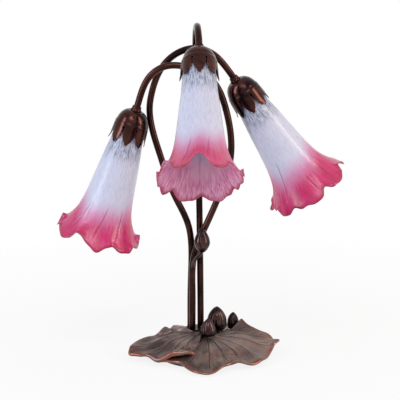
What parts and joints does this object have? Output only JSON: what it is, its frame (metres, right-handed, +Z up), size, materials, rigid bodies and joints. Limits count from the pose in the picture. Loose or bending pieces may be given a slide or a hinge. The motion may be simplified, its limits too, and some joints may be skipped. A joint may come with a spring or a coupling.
{
  "type": "tulip shade table lamp",
  "caption": "Table lamp with drooping ruffled flower shades of streaked glass on bent bronze stems that rise from a cast lily-pad base with buds.",
  "frame": {"origin": "on the table, at the middle of the round foot", "axes": "+Z up, +X to the right of a person who faces the lamp, +Y away from them; the middle shade leans towards -Y"},
  "size_m": [0.3516, 0.2734, 0.4047],
  "materials": {
    "felt": "dark felt glued under the foot",
    "foot_black": "black painted cast iron",
    "cover_steel": "thin black sheet",
    "screw_steel": "zinc plated screws",
    "nylon_black": "black nylon",
    "brass": "bare turned brass inside the lamp",
    "socket_bronze": "brass with a dark mahogany bronze finish",
    "pad_bronze": "cast brass with a satin brown patina, worn to copper at its edges",
    "bud_bronze": "cast brass with a glossy dark brown patina",
    "stem_bronze": "steel tube with a glossy mahogany bronze finish",
    "calyx_bronze": "pressed sheet with a mahogany bronze finish",
    "phenolic": "black moulded lampholder",
    "ring_plastic": "black moulded ring",
    "shell_brass": "bright brass shell",
    "shade_glass": "milky streaked glass, white at the neck and magenta pink on the flare",
    "bulb_glass": "frosted bulb glass",
    "bulb_cap": "plated screw cap",
    "lead_pvc": "brown insulated twin wire",
    "connector_plastic": "orange twist-on caps"
  },
  "bodies": {
    "root": {"arm_collar_centre": "stem_bronze", "arm_collar_left": "stem_bronze", "arm_collar_right": "stem_bronze", "arm_nipple_centre": "brass", "arm_nipple_left": "brass", "arm_nipple_right": "brass", "arm_socket": "socket_bronze", "arm_tube_centre": "stem_bronze", "arm_tube_left": "stem_bronze", "arm_tube_right": "stem_bronze", "base_felt": "felt", "base_foot": "foot_black", "bud_front": "bud_bronze", "bud_small": "bud_bronze", "bud_tall": "bud_bronze", "calyx_centre": "calyx_bronze", "calyx_left": "calyx_bronze", "calyx_right": "calyx_bronze", "cord_inlet_bushing": "nylon_black", "cover_screws": "screw_steel", "inner_lead_centre": "lead_pvc", "inner_lead_left": "lead_pvc", "inner_lead_right": "lead_pvc", "lampholder_centre": "phenolic", "lampholder_left": "phenolic", "lampholder_right": "phenolic", "lily_pad_left": "pad_bronze", "lily_pad_rear": "pad_bronze", "lily_pad_right": "pad_bronze", "pad_screws": "screw_steel", "screw_shell_centre": "shell_brass", "screw_shell_left": "shell_brass", "screw_shell_right": "shell_brass", "socket_nut": "brass", "socket_washer": "brass", "stem_bud": "bud_bronze", "wire_connectors": "connector_plastic", "wiring_cover": "cover_steel"},
    "ring_left": {"shade_ring_left": "ring_plastic"},
    "shade_left": {"glass_shade_left": "shade_glass"},
    "bulb_left": {"bulb_base_left": "bulb_cap", "bulb_glass_left": "bulb_glass"},
    "ring_right": {"shade_ring_right": "ring_plastic"},
    "shade_right": {"glass_shade_right": "shade_glass"},
    "bulb_right": {"bulb_base_right": "bulb_cap", "bulb_glass_right": "bulb_glass"},
    "ring_centre": {"shade_ring_centre": "ring_plastic"},
    "shade_centre": {"glass_shade_centre": "shade_glass"},
    "bulb_centre": {"bulb_base_centre": "bulb_cap", "bulb_glass_centre": "bulb_glass"}
  },
  "joints": [
    {"name": "ring_left_off", "type": "slide", "parent": "root", "child": "ring_left", "axis": [-0.3002, 0.08, -0.9505], "range_m": [0, 0.075]},
    {"name": "shade_left_turn", "type": "hinge", "parent": "ring_left", "child": "shade_left", "pos_m": [-0.08, -0.002, 0.3005], "axis": [-0.3002, 0.08, -0.9505], "continuous": true},
    {"name": "bulb_left_out", "type": "slide", "parent": "root", "child": "bulb_left", "axis": [-0.3002, 0.08, -0.9505], "range_m": [0, 0.145]},
    {"name": "ring_right_off", "type": "slide", "parent": "root", "child": "ring_right", "axis": [0.5599, 0.15, -0.8149], "range_m": [0, 0.075]},
    {"name": "shade_right_turn", "type": "hinge", "parent": "ring_right", "child": "shade_right", "pos_m": [0.0386, 0.008, 0.335], "axis": [0.5599, 0.15, -0.8149], "continuous": true},
    {"name": "bulb_right_out", "type": "slide", "parent": "root", "child": "bulb_right", "axis": [0.5599, 0.15, -0.8149], "range_m": [0, 0.145]},
    {"name": "ring_centre_off", "type": "slide", "parent": "root", "child": "ring_centre", "axis": [0.01, -0.55, -0.8351], "range_m": [0, 0.075]},
    {"name": "shade_centre_turn", "type": "hinge", "parent": "ring_centre", "child": "shade_centre", "pos_m": [-0.005, -0.058, 0.3755], "axis": [0.01, -0.55, -0.8351], "continuous": true},
    {"name": "bulb_centre_out", "type": "slide", "parent": "root", "child": "bulb_centre", "axis": [0.01, -0.55, -0.8351], "range_m": [0, 0.145]}
  ]
}
